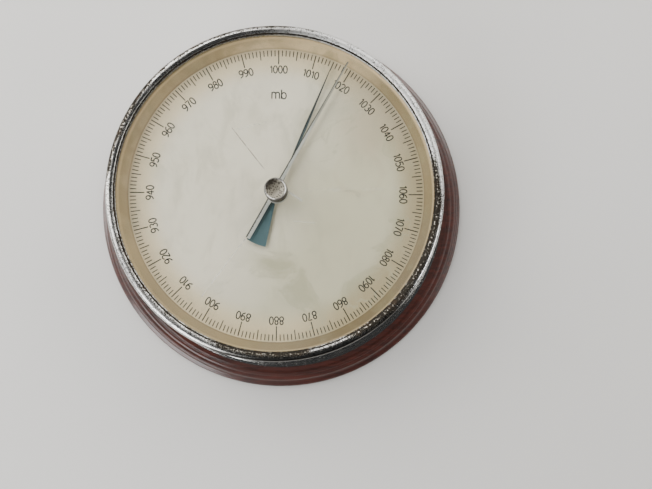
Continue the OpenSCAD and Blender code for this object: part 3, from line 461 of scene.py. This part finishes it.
def bluedHandSteel():
    look = bluedLook
    r = Recipe("bluedHandSteel")
    x, y = r.axes()[:2]
    turn, edge = math.radians(look["clock"]), math.radians(look["tailEdge"])
    along = x * math.sin(turn) + y * math.cos(turn)
    across = x * math.cos(turn) - y * math.sin(turn)
    fromEdge = (x * math.cos(edge) - y * math.sin(edge)).size()
    cloud = r.grain(140.0, 4.0, 0.6).ramp(0.40, 0.70)
    # the tail's teal: the steel's blue with a painted reflection of light
    tealSheen = r.blend(cloud * 0.5, look["tealSheen"], look["tealCloud"])
    # painted shade along the tail's edge
    tealSheen = r.blend(fromEdge.ramp(2.2, 0.2) * 0.75, tealSheen, look["tealEdgeShade"])
    # painted light on the lance's right side and painted shade on its left
    r.colour = r.blend(across.ramp(0.35, -0.25), look["litSide"], look["paintedShadeSide"])
    r.cover(cloud * 0.4, look["cloud"])
    r.cover(along.ramp(*look["tip"]) * 0.85, look["tipShade"])
    r.cover(along.ramp(*look["tail"]), tealSheen)
    r.cover(r.cells(1500.0).ramp(0.20, 0.08) * r.grain(300.0, 3.0).ramp(0.55, 0.7) * 0.6, look["spot"])
    return r.finish(Metallic=0.15, Roughness=0.40 + 0.15 * cloud, Normal=r.bump(cloud, 0.1, 0.00006))


# set hand: pale nickel, grey towards its tip, with painted shade in beads along its left edge; offset is how far its
# middle line lies from the axis, tip its reach, half and tipHalf half its width at the axis and at the tip
setHandLook = {"clock": 28.95, "offset": -1.4, "tip": 73.5, "half": 1.1, "tipHalf": 0.35, "greyBand": (30.0, 46.0),
               "nickel": (0.80, 0.79, 0.75), "cloud": (0.62, 0.60, 0.54), "grey": (0.24, 0.22, 0.165),
               "bead": (0.018, 0.017, 0.015)}


def setHandNickel():
    look = setHandLook
    r = Recipe("setHandNickel")
    x, y = r.axes()[:2]
    turn = math.radians(look["clock"])
    across = x * math.cos(turn) - y * math.sin(turn) - look["offset"]
    along = x * math.sin(turn) + y * math.cos(turn)
    half = look["half"] - along.high(0.0) * ((look["half"] - look["tipHalf"]) / look["tip"])
    beads = r.grain(1300.0, 3.0, 0.7)
    left = (across / half + (beads - 0.5) * 1.1).ramp(-0.30, -0.50) * along.size().ramp(3.0, 5.0)
    cloud = r.grain(300.0, 4.0, 0.6).ramp(0.42, 0.72)
    outer = along.ramp(*look["greyBand"])
    r.colour = r.blend(cloud * 0.5, look["nickel"], look["cloud"])
    r.cover(outer * (0.65 + 0.3 * beads), look["grey"])
    # painted shade in beads along the left edge
    r.cover(left * 0.95, look["bead"])
    return r.finish(Metallic=0.55 - 0.2 * left - 0.35 * outer, Roughness=0.30 + 0.12 * cloud + 0.2 * left,
                    Normal=r.bump(beads, 0.2, 0.00006))


# flat glass: clear, with a thin haze, dust and marks; each mark is its start, end and width,
# and a scratch has its share too: one long dark crack, one bright streak by the knob, a broad smear, fine scratches
glassLook = {"haze": 0.035, "dust": 0.30, "tint": (0.975, 0.985, 0.975), "mirror": (1.0, 1.0, 1.0),
             "film": (0.66, 0.65, 0.60), "crackFilm": (0.16, 0.13, 0.10),
             "crack": ((-5.6, 10.3), (-21.6, 30.5), 0.50), "streak": ((5.9, -0.2), (12.0, -4.1), 1.2),
             "smear": ((14.0, 0.8), (58.0, 2.0), 2.4),
             "scratches": [((-15.0, -23.0), (-35.6, -50.9), 0.45, 0.55), ((-21.0, 29.6), (-5.4, 33.8), 0.5, 0.30),
                           ((8.0, -14.0), (18.5, -15.0), 0.7, 0.30)]}


def clearGlass():
    look = glassLook
    r = Recipe("clearGlass")
    x, y = r.axes()[:2]
    crack = nearLine(x, y, *look["crack"])
    lines = crack * 0.95
    for start, end, width, share in look["scratches"]:
        lines = lines.high(nearLine(x, y, start, end, width) * share)
    lines = lines.high(nearLine(x, y, *look["smear"]) * r.grain(90.0, 3.0).ramp(0.45, 0.65) * 0.10)
    # the streak fades away from the knob
    streak = nearLine(x, y, *look["streak"]) * (0.55 - 0.03 * (x - 6.0).high(0.0))
    broken = r.grain(400.0, 3.0, 0.6).ramp(0.38, 0.60)
    haze = r.grain(26.0, 4.0, 0.6).ramp(0.35, 0.75) * look["haze"]
    dust = r.cells(1400.0).ramp(0.10, 0.04) * r.grain(200.0, 2.0).ramp(0.55, 0.68) * look["dust"]
    dirt = (haze + dust + lines * broken + streak).low(1.0)
    pale = r.make("ShaderNodeBsdfDiffuse", {}, {"Color": look["film"]})
    dark = r.make("ShaderNodeBsdfDiffuse", {}, {"Color": look["crackFilm"]})
    clear = r.make("ShaderNodeBsdfTransparent", {}, {"Color": look["tint"]})
    shine = r.make("ShaderNodeBsdfGlossy", {}, {"Color": look["mirror"], "Roughness": 0.02})
    slant = r.make("ShaderNodeLayerWeight", {}, {"Blend": 0.5}, "Facing")
    pane = r.joined(0.035 + 0.9 * slant ** 5.0, clear, shine)
    return r.close(r.joined(dirt, pane, r.joined(crack, pale, dark)))


sealLook = {"dark": (0.020, 0.020, 0.020), "grey": (0.045, 0.043, 0.040)}


def sealRubber():
    r = Recipe("sealRubber")
    fine = r.grain(1600.0, 3.0, 0.6)
    r.colour = r.blend(fine, sealLook["dark"], sealLook["grey"])
    return r.finish(Roughness=0.6 + 0.15 * fine, Normal=r.bump(fine, 0.3, 0.0001))


# the finish of each material slot of the record, and of the nodes that have one of their own
looks = {
    "board_wood": glossWood(),
    "plate_brass": oldBrass("plateBrass"),
    "chrome_case": platedChrome("caseChrome", **caseLook),
    "chrome_bezel": platedChrome("bezelChrome", **bezelLook),
    "glass": clearGlass(),
    "seal_rubber": sealRubber(),
    "cream_ring": ringPaint(),
    "dial_white": dialPaint(),
    "movement_brass": oldBrass("movementBrass"),
    "blued_screws": steel("bluedScrewSteel"),
    "spring_steel": steel("springSteel"),
    "capsule_metal": steel("capsuleMetal"),
    "polished_steel": steel("polishedSteel"),
    "blued_hand": bluedHandSteel(),
    "polished_nickel": setHandNickel(),
    "knob_chrome": wornKnobChrome(),
}
# the flange screws get painted shade: the drum's metal made dark under the bezel's overhang
ownLooks = {"flange_screws": steel("paintedShadeScrews")}
ink = inkPaint()

slotOf = {part["node"]: part["material_slot"] for part in frame["record"]["subparts"]}
for name, node in nodes.items():
    node.data.materials.clear()
    node.data.materials.append(ownLooks.get(name, looks[slotOf[name]]))
print("materials made:", len(looks) + len(ownLooks) + 1)


# meshes; profiles and paths are in millimetres, points of a mesh in metres

creaseAngle = 38.0  # degrees between faces from which an edge stays sharp


def addPiece(name, points, faces, material, body, smooth=True, stands=()):
    # points: N x 3; faces: M x 4, or M x 3, of point numbers, turning left seen from outside
    mesh = bpy.data.meshes.new(name)
    points = np.asarray(points, dtype=np.float32)
    faces = np.asarray(faces, dtype=np.int32)
    sides = faces.shape[1]
    mesh.vertices.add(len(points))
    mesh.vertices.foreach_set("co", points.ravel())
    mesh.loops.add(faces.size)
    mesh.loops.foreach_set("vertex_index", faces.ravel())
    mesh.polygons.add(len(faces))
    mesh.polygons.foreach_set("loop_start", np.arange(len(faces), dtype=np.int32) * sides)
    mesh.polygons.foreach_set("loop_total", np.full(len(faces), sides, dtype=np.int32))
    mesh.update(calc_edges=True)
    mesh.validate()
    mesh.materials.append(material)
    if smooth:
        mesh.polygons.foreach_set("use_smooth", np.ones(len(mesh.polygons), dtype=bool))
        mesh.set_sharp_from_angle(angle=math.radians(creaseAngle))
    piece = bpy.data.objects.new(name, mesh)
    bpy.context.scene.collection.objects.link(piece)
    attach(piece, body)
    if stands:
        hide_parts(*stands)


def gridFaces(rows, columns):
    # quads between neighbouring rows and columns of a grid of points; the last column joins the first
    i = np.arange(rows - 1)[:, None]
    j = np.arange(columns)[None, :]
    nextJ = (j + 1) % columns
    quads = np.stack([i * columns + j, i * columns + nextJ, (i + 1) * columns + nextJ, (i + 1) * columns + j], -1)
    return quads.reshape(-1, 4)


def bow(cx, cy, rx, ry, start, end, count):
    # evenly spaced points on part of an ellipse: middle plus half width times cosine, half height times sine;
    # angles in degrees
    a = np.radians(np.linspace(start, end, count))
    return np.stack([cx + rx * np.cos(a), cy + ry * np.sin(a)], -1)


def turned(profile, steps, ripple):
    # an open profile of (radius, height) turned once about Z: it leaves the axis at the bottom, runs out, up and back
    # to the axis; ripple(radius, height, turn) is added to the radius; rows on the axis shrink to one point each
    turn = np.linspace(0.0, 2.0 * np.pi, steps, endpoint=False)
    radius = np.repeat(profile[:, :1], steps, 1)
    height = np.repeat(profile[:, 1:], steps, 1)
    radius = radius + ripple(radius, height, turn[None, :])
    points = np.stack([radius * np.cos(turn), radius * np.sin(turn), height], -1).reshape(-1, 3) * mm
    quads = gridFaces(len(profile), steps)
    faces = np.vstack([quads[:, [0, 1, 2]], quads[:, [0, 2, 3]]])
    place = np.arange(len(points)).reshape(len(profile), steps)
    onAxis = profile[:, 0] == 0.0
    place[onAxis] = place[onAxis][:, :1]
    faces = place.ravel()[faces]
    whole = (faces[:, 0] != faces[:, 1]) & (faces[:, 1] != faces[:, 2]) & (faces[:, 0] != faces[:, 2])
    used, faces = np.unique(faces[whole], return_inverse=True)
    return points[used], faces.reshape(-1, 3)


# the setting knob: grooved side, rounded rim and a dished top; grooveLow and grooveHigh are how far the grooves
# keep from its bottom and top, sideLow and sideHigh the same for the straight side's rows
knobLook = {"radius": 5.4, "low": 59.2, "high": 66.5, "bore": 1.4, "boreTop": 62.6, "foot": 0.4, "footFlat": 0.45,
            "rim": 0.55, "lip": 0.95, "dish": 0.95, "sideLow": 0.9, "sideHigh": 1.1, "sideRows": 5,
            "grooves": 40, "deep": 0.30, "grooveLow": 0.5, "grooveHigh": 0.8, "perGroove": 12}


def makeKnob():
    # the profile runs up in the bore, out along the foot, up the side, over the rounded rim and down into the dish:
    # an arc whose radius is (half width squared plus depth squared) over twice the depth
    k = knobLook
    half, floor = k["radius"] - k["lip"], k["high"] - k["dish"]
    bowl = (half * half + k["dish"] ** 2) / (2 * k["dish"])
    reach = math.degrees(math.asin(half / bowl))
    side = np.linspace(k["low"] + k["sideLow"], k["high"] - k["sideHigh"], k["sideRows"])
    profile = np.vstack([[[0.0, k["boreTop"]], [k["bore"], k["boreTop"]], [k["bore"], k["low"]],
                          [k["radius"] - k["footFlat"], k["low"]]],
                         bow(k["radius"] - k["foot"], k["low"] + k["foot"], k["foot"], k["foot"], -70, 0, 4),
                         np.c_[np.full(k["sideRows"], k["radius"]), side],
                         bow(k["radius"] - k["rim"], k["high"] - k["rim"], k["rim"], k["rim"], 0, 130, 10),
                         bow(0.0, floor + bowl, bowl, bowl, -90 + reach, -90, 16)])
    profile[-1, 0] = 0.0

    def grooves(radius, height, turn):
        # each groove: depth times the fourth power of the cosine's positive part, on the straight side only
        straight = ((radius > k["radius"] - 0.01) & (height > k["low"] + k["grooveLow"])
                    & (height < k["high"] - k["grooveHigh"]))
        return -k["deep"] * straight * np.maximum(0.0, np.cos(turn * k["grooves"])) ** 4

    return turned(profile, k["grooves"] * k["perGroove"], grooves)


# the leaf spring bends and the capsule swells as the lever moves; each entry gives the node, its first and second
# body, the start and end of its length, in millimetres, and how many cuts cross it
bendLook = {"bendingLeafSpring": {"node": "main_spring", "bodies": ("case", "lever"), "start": (-48.0, 0.0, 35.5),
                                  "end": (-22.0, 0.0, 35.5), "cuts": 12},
            "swellingCapsule": {"node": "vacuum_capsule", "bodies": ("case", "post"), "start": (-14.0, 0.0, 18.5),
                                "end": (-14.0, 0.0, 26.5), "cuts": 3}}
mergeDistance = 1e-6  # metres


def bendingCopy(name, look):
    # the node's own solid, merged, and cut straight across the way from start to end so that it can follow a curve
    solid = bmesh.new()
    solid.from_mesh(nodes[look["node"]].data)
    bmesh.ops.remove_doubles(solid, verts=solid.verts, dist=mergeDistance)
    start, end = Vector(look["start"]) * mm, Vector(look["end"]) * mm
    for share in np.linspace(0.0, 1.0, look["cuts"]):
        bmesh.ops.bisect_plane(solid, geom=solid.verts[:] + solid.edges[:] + solid.faces[:],
                               plane_co=start.lerp(end, share), plane_no=end - start)
    bmesh.ops.triangulate(solid, faces=solid.faces[:])
    mesh = bpy.data.meshes.new(name)
    solid.to_mesh(mesh)
    solid.free()
    mesh.materials.append(looks[slotOf[look["node"]]])
    piece = bpy.data.objects.new(name, mesh)
    bpy.context.scene.collection.objects.link(piece)
    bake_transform(piece)
    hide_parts(look["node"])


for name, look in bendLook.items():
    bendingCopy(name, look)
print("spring and capsule made")

points, faces = makeKnob()
addPiece("dishedKnob", points, faces, looks["knob_chrome"], "setter", stands=("set_knob",))
print("knob made")


# ring of scale marks, one for each millibar, with figures from first to last; the mark atTop stands at the top
scaleMarks = {"outer": 72.0, "unit": 3.0, "five": 4.7, "ten": 7.0, "width": 0.44, "wideTen": 0.52,
              "thick": 0.03, "sunk": 0.02, "count": 240, "perUnit": 1.5, "atTop": 1000, "first": 860, "last": 1090}
printLow = dialTop - scaleMarks["sunk"]
printHigh = dialTop + scaleMarks["thick"]


def makeMarks():
    # one flat box for each mark: a strip along its radius, centred on its angle
    s = scaleMarks
    value = s["atTop"] + np.arange(s["count"])
    clock = np.radians(np.arange(s["count"]) * s["perUnit"])
    long = np.where(value % 10 == 0, s["ten"], np.where(value % 5 == 0, s["five"], s["unit"]))
    wide = np.where(value % 10 == 0, s["wideTen"], s["width"])
    # the eight corners: which side of the strip, at its inner end or not, on top or not
    side = np.array([-0.5, 0.5, 0.5, -0.5, -0.5, 0.5, 0.5, -0.5])
    inner = np.array([1, 1, 0, 0, 1, 1, 0, 0.0])
    top = np.array([0, 0, 0, 0, 1, 1, 1, 1.0])
    radius = s["outer"] - long[:, None] * inner
    off = wide[:, None] * side
    x = radius * np.sin(clock)[:, None] + off * np.cos(clock)[:, None]
    y = radius * np.cos(clock)[:, None] - off * np.sin(clock)[:, None]
    z = np.broadcast_to(printLow + top * (s["thick"] + s["sunk"]), x.shape)
    box = np.array([[3, 2, 1, 0], [4, 5, 6, 7], [0, 1, 5, 4], [1, 2, 6, 5], [2, 3, 7, 6], [3, 0, 4, 7]])
    faces = (box[None] + len(side) * np.arange(s["count"])[:, None, None]).reshape(-1, 4)
    return np.stack([x, y, z], -1).reshape(-1, 3) * mm, faces


# strokes of each figure in a box of height 1; a stroke is a list of points
figureStrokes = {
    "0": [bow(0.25, 0.5, 0.25, 0.5, 90, 450, 24)],
    "1": [np.array([[0.04, 0.76], [0.24, 1.0], [0.24, 0.5], [0.24, 0.0]])],
    "2": [np.vstack([bow(0.25, 0.74, 0.25, 0.26, 165, -35, 12), [[0.0, 0.0], [0.52, 0.0]]])],
    "3": [np.vstack([bow(0.24, 0.76, 0.22, 0.24, 150, -80, 10), bow(0.24, 0.27, 0.26, 0.27, 80, -150, 12)])],
    "4": [np.array([[0.36, 0.0], [0.36, 1.0], [0.0, 0.28], [0.54, 0.28]])],
    "5": [np.vstack([[[0.48, 1.0], [0.07, 1.0], [0.04, 0.56]], bow(0.24, 0.32, 0.26, 0.32, 125, -145, 14)])],
    "6": [np.vstack([[[0.44, 1.0]], bow(0.36, 0.38, 0.36, 0.55, 125, 175, 5),
                     bow(0.25, 0.28, 0.25, 0.28, 175, 535, 20)])],
    "7": [np.array([[0.0, 1.0], [0.5, 1.0], [0.32, 0.55], [0.18, 0.0]])],
    "8": [bow(0.25, 0.77, 0.20, 0.23, -90, 270, 18), bow(0.25, 0.27, 0.25, 0.27, 90, 450, 20)],
    "9": [np.vstack([[[0.06, 0.0]], bow(0.14, 0.62, 0.36, 0.55, -55, -5, 5),
                     bow(0.25, 0.72, 0.25, 0.28, -5, 355, 20)])],
    "m": [np.array([[0.0, 0.0], [0.0, 0.70]]), np.vstack([bow(0.20, 0.50, 0.20, 0.20, 180, 0, 8), [[0.40, 0.0]]]),
          np.vstack([bow(0.60, 0.50, 0.20, 0.20, 180, 0, 8), [[0.80, 0.0]]])],
    "b": [np.array([[0.0, 0.0], [0.0, 1.0]]), bow(0.25, 0.34, 0.25, 0.34, 90, 450, 20)],
}
# widths in the same box, of the figures that aren't as wide as most
figureWidths = {"1": 0.30, "m": 0.80}
usualWidth = 0.5
# spacing of points along a stroke: close on a bow, wide on a stroke of a few straight lines
strokeSteps = {"bow": 0.085, "straight": 0.25, "straightPoints": 4}


def strokeRibbon(path, width):
    # a flat ribbon with square edges: each point of the path is moved both ways along the path's normal
    ahead = np.gradient(path, axis=0)
    ahead = ahead / np.maximum(np.linalg.norm(ahead, axis=1, keepdims=True), 1e-9)
    across = np.stack([-ahead[:, 1], ahead[:, 0]], -1) * width * 0.5
    left, right = path + across, path - across
    count = len(path)
    low, high = np.full(count, printLow), np.full(count, printHigh)
    rows = np.stack([np.c_[left, low], np.c_[right, low], np.c_[right, high], np.c_[left, high]], 1)
    last = 4 * count - 1
    ends = np.array([[0, 1, 2, 3], [last, last - 1, last - 2, last - 3]])
    return rows.reshape(-1, 3), np.vstack([gridFaces(count, 4), ends])[:, ::-1]


def resampled(path, step):
    # points evenly spaced along a polyline, by its length so far
    lengths = np.r_[0.0, np.cumsum(np.linalg.norm(np.diff(path, axis=0), axis=1))]
    count = max(2, int(round(lengths[-1] / step)) + 1)
    at = np.linspace(0.0, lengths[-1], count)
    return np.stack([np.interp(at, lengths, path[:, 0]), np.interp(at, lengths, path[:, 1])], -1)


def makeWords(words, look):
    # words: (text, clock angle); letters stand on a straight line across the radius, each place turned by the angle
    points, faces, used = [], [], 0
    tall, gap = look["tall"], look["gap"]
    for text, clock in words:
        turn = math.radians(clock)
        sizes = [figureWidths.get(letter, usualWidth) * tall for letter in text]
        at = -(sum(sizes) + gap * (len(text) - 1)) / 2
        for letter, size in zip(text, sizes):
            for stroke in figureStrokes[letter]:
                kind = "bow" if len(stroke) > strokeSteps["straightPoints"] else "straight"
                path = resampled(stroke, strokeSteps[kind]) * tall
                u, v = path[:, 0] + at, path[:, 1] - tall / 2 + look["radius"]
                flat = np.stack([u * math.cos(turn) + v * math.sin(turn),
                                 -u * math.sin(turn) + v * math.cos(turn)], -1)
                newPoints, newFaces = strokeRibbon(flat, look["stroke"])
                points.append(newPoints)
                faces.append(newFaces + used)
                used += len(newPoints)
            at += size + gap
    return np.vstack(points) * mm, np.vstack(faces)


# radius of the words' middle, height, space between letters and width of a stroke
figureLook = {"radius": 62.3, "tall": 3.7, "gap": 0.62, "stroke": 0.56}
unitLook = {"radius": 49.8, "tall": 4.7, "gap": 1.0, "stroke": 0.60, "text": "mb", "clock": 0.4}

numbers = [(str(value), (value - scaleMarks["atTop"]) * scaleMarks["perUnit"])
           for value in range(scaleMarks["first"], scaleMarks["last"] + 1, 10)]
printed = {"scaleMarks": makeMarks(), "scaleFigures": makeWords(numbers, figureLook),
           "unitLetters": makeWords([(unitLook["text"], unitLook["clock"])], unitLook)}
for name, (points, faces) in printed.items():
    addPiece(name, points, faces, ink, "case", smooth=False)
print("dial printed")


# stage, in metres

studio = {"half": 3.0, "floor": (0.72, 0.71, 0.69), "floorDark": 0.97, "sky": (0.97, 0.98, 1.0), "skyPower": 0.05,
          "aim": (0.0, 0.0, 0.05)}
# soft boxes: clock direction, degrees off the vertical, distance, width and height, power, colour
softBoxes = {"leftWindow": (297, 55, 1.50, (1.6, 1.65), 39.0, (1.0, 0.985, 0.96)),
             "topSheet": (350, 56, 1.50, (1.2, 1.4), 12.5, (1.0, 0.99, 0.97)),
             "rightSheet": (48, 56, 1.50, (1.1, 0.9), 13.0, (1.0, 0.98, 0.94)),
             "sideStrip": (99, 62, 1.40, (0.8, 0.30), 4.0, (1.0, 0.98, 0.95)),
             "frontSheet": (224, 58, 1.35, (0.8, 0.6), 11.5, (0.98, 0.99, 1.0))}


def fromAxes(right, up, back, place):
    # the matrix of an object that stands at place and whose own axes point right, up and back
    rows = [[right[k], up[k], back[k], place[k]] for k in range(3)]
    return Matrix(rows + [[0, 0, 0, 1]])


def addLight(name, clock, off, away, size, power, colour):
    # a light shines along its own -Z, so back is the direction from the aim to the light
    lamp = bpy.data.lights.new(name, "AREA")
    lamp.shape = "RECTANGLE"
    lamp.size, lamp.size_y = size
    lamp.energy = power
    lamp.color = colour
    thing = bpy.data.objects.new(name, lamp)
    bpy.context.scene.collection.objects.link(thing)
    clock, off = math.radians(clock), math.radians(off)
    flat = away * math.sin(off)
    place = (flat * math.sin(clock), flat * math.cos(clock), away * math.cos(off))
    back = np.array(place) - np.array(studio["aim"])
    back = back / np.linalg.norm(back)
    right = np.cross([0.0, 0.0, 1.0], back)
    right = right / np.linalg.norm(right)
    thing.matrix_world = fromAxes(right, np.cross(back, right), back, place)


def makeStage():
    half = studio["half"]
    mesh = bpy.data.meshes.new("studioFloor")
    mesh.from_pydata([(-half, -half, 0), (half, -half, 0), (half, half, 0), (-half, half, 0)], [], [(0, 1, 2, 3)])
    floor = bpy.data.objects.new("studioFloor", mesh)
    bpy.context.scene.collection.objects.link(floor)
    r = Recipe("paleFloor")
    darker = tuple(studio["floorDark"] * c for c in studio["floor"])
    r.colour = r.blend(r.grain(14.0, 3.0), studio["floor"], darker)
    mesh.materials.append(r.finish(Roughness=0.75))
    world = bpy.data.worlds.new("studioWorld")
    world.use_nodes = True
    sky = world.node_tree.nodes["Background"].inputs
    sky["Color"].default_value = studio["sky"] + (1.0,)
    sky["Strength"].default_value = studio["skyPower"]
    bpy.context.scene.world = world


makeStage()
for name, row in softBoxes.items():
    addLight(name, *row)

# camera solved from the scale marks: 489 px focal length at 652 x 489; sensor and focal length in millimetres
cameraLook = {"place": (0.01691, -0.03634, 0.29226), "right": (0.99955, 0.00378, 0.02962),
              "up": (-0.00517, 0.99888, 0.04696), "back": (-0.02941, -0.04709, 0.99846),
              "sensor": 36.0, "focal": 27.0, "nearest": 0.01}
lens = bpy.data.cameras.new("photoCamera")
lens.sensor_width = cameraLook["sensor"]
lens.lens = cameraLook["focal"]
lens.clip_start = cameraLook["nearest"]
camera = bpy.data.objects.new("photoCamera", lens)
bpy.context.scene.collection.objects.link(camera)
camera.matrix_world = fromAxes(cameraLook["right"], cameraLook["up"], cameraLook["back"], cameraLook["place"])
bpy.context.scene.camera = camera
print("stage set")
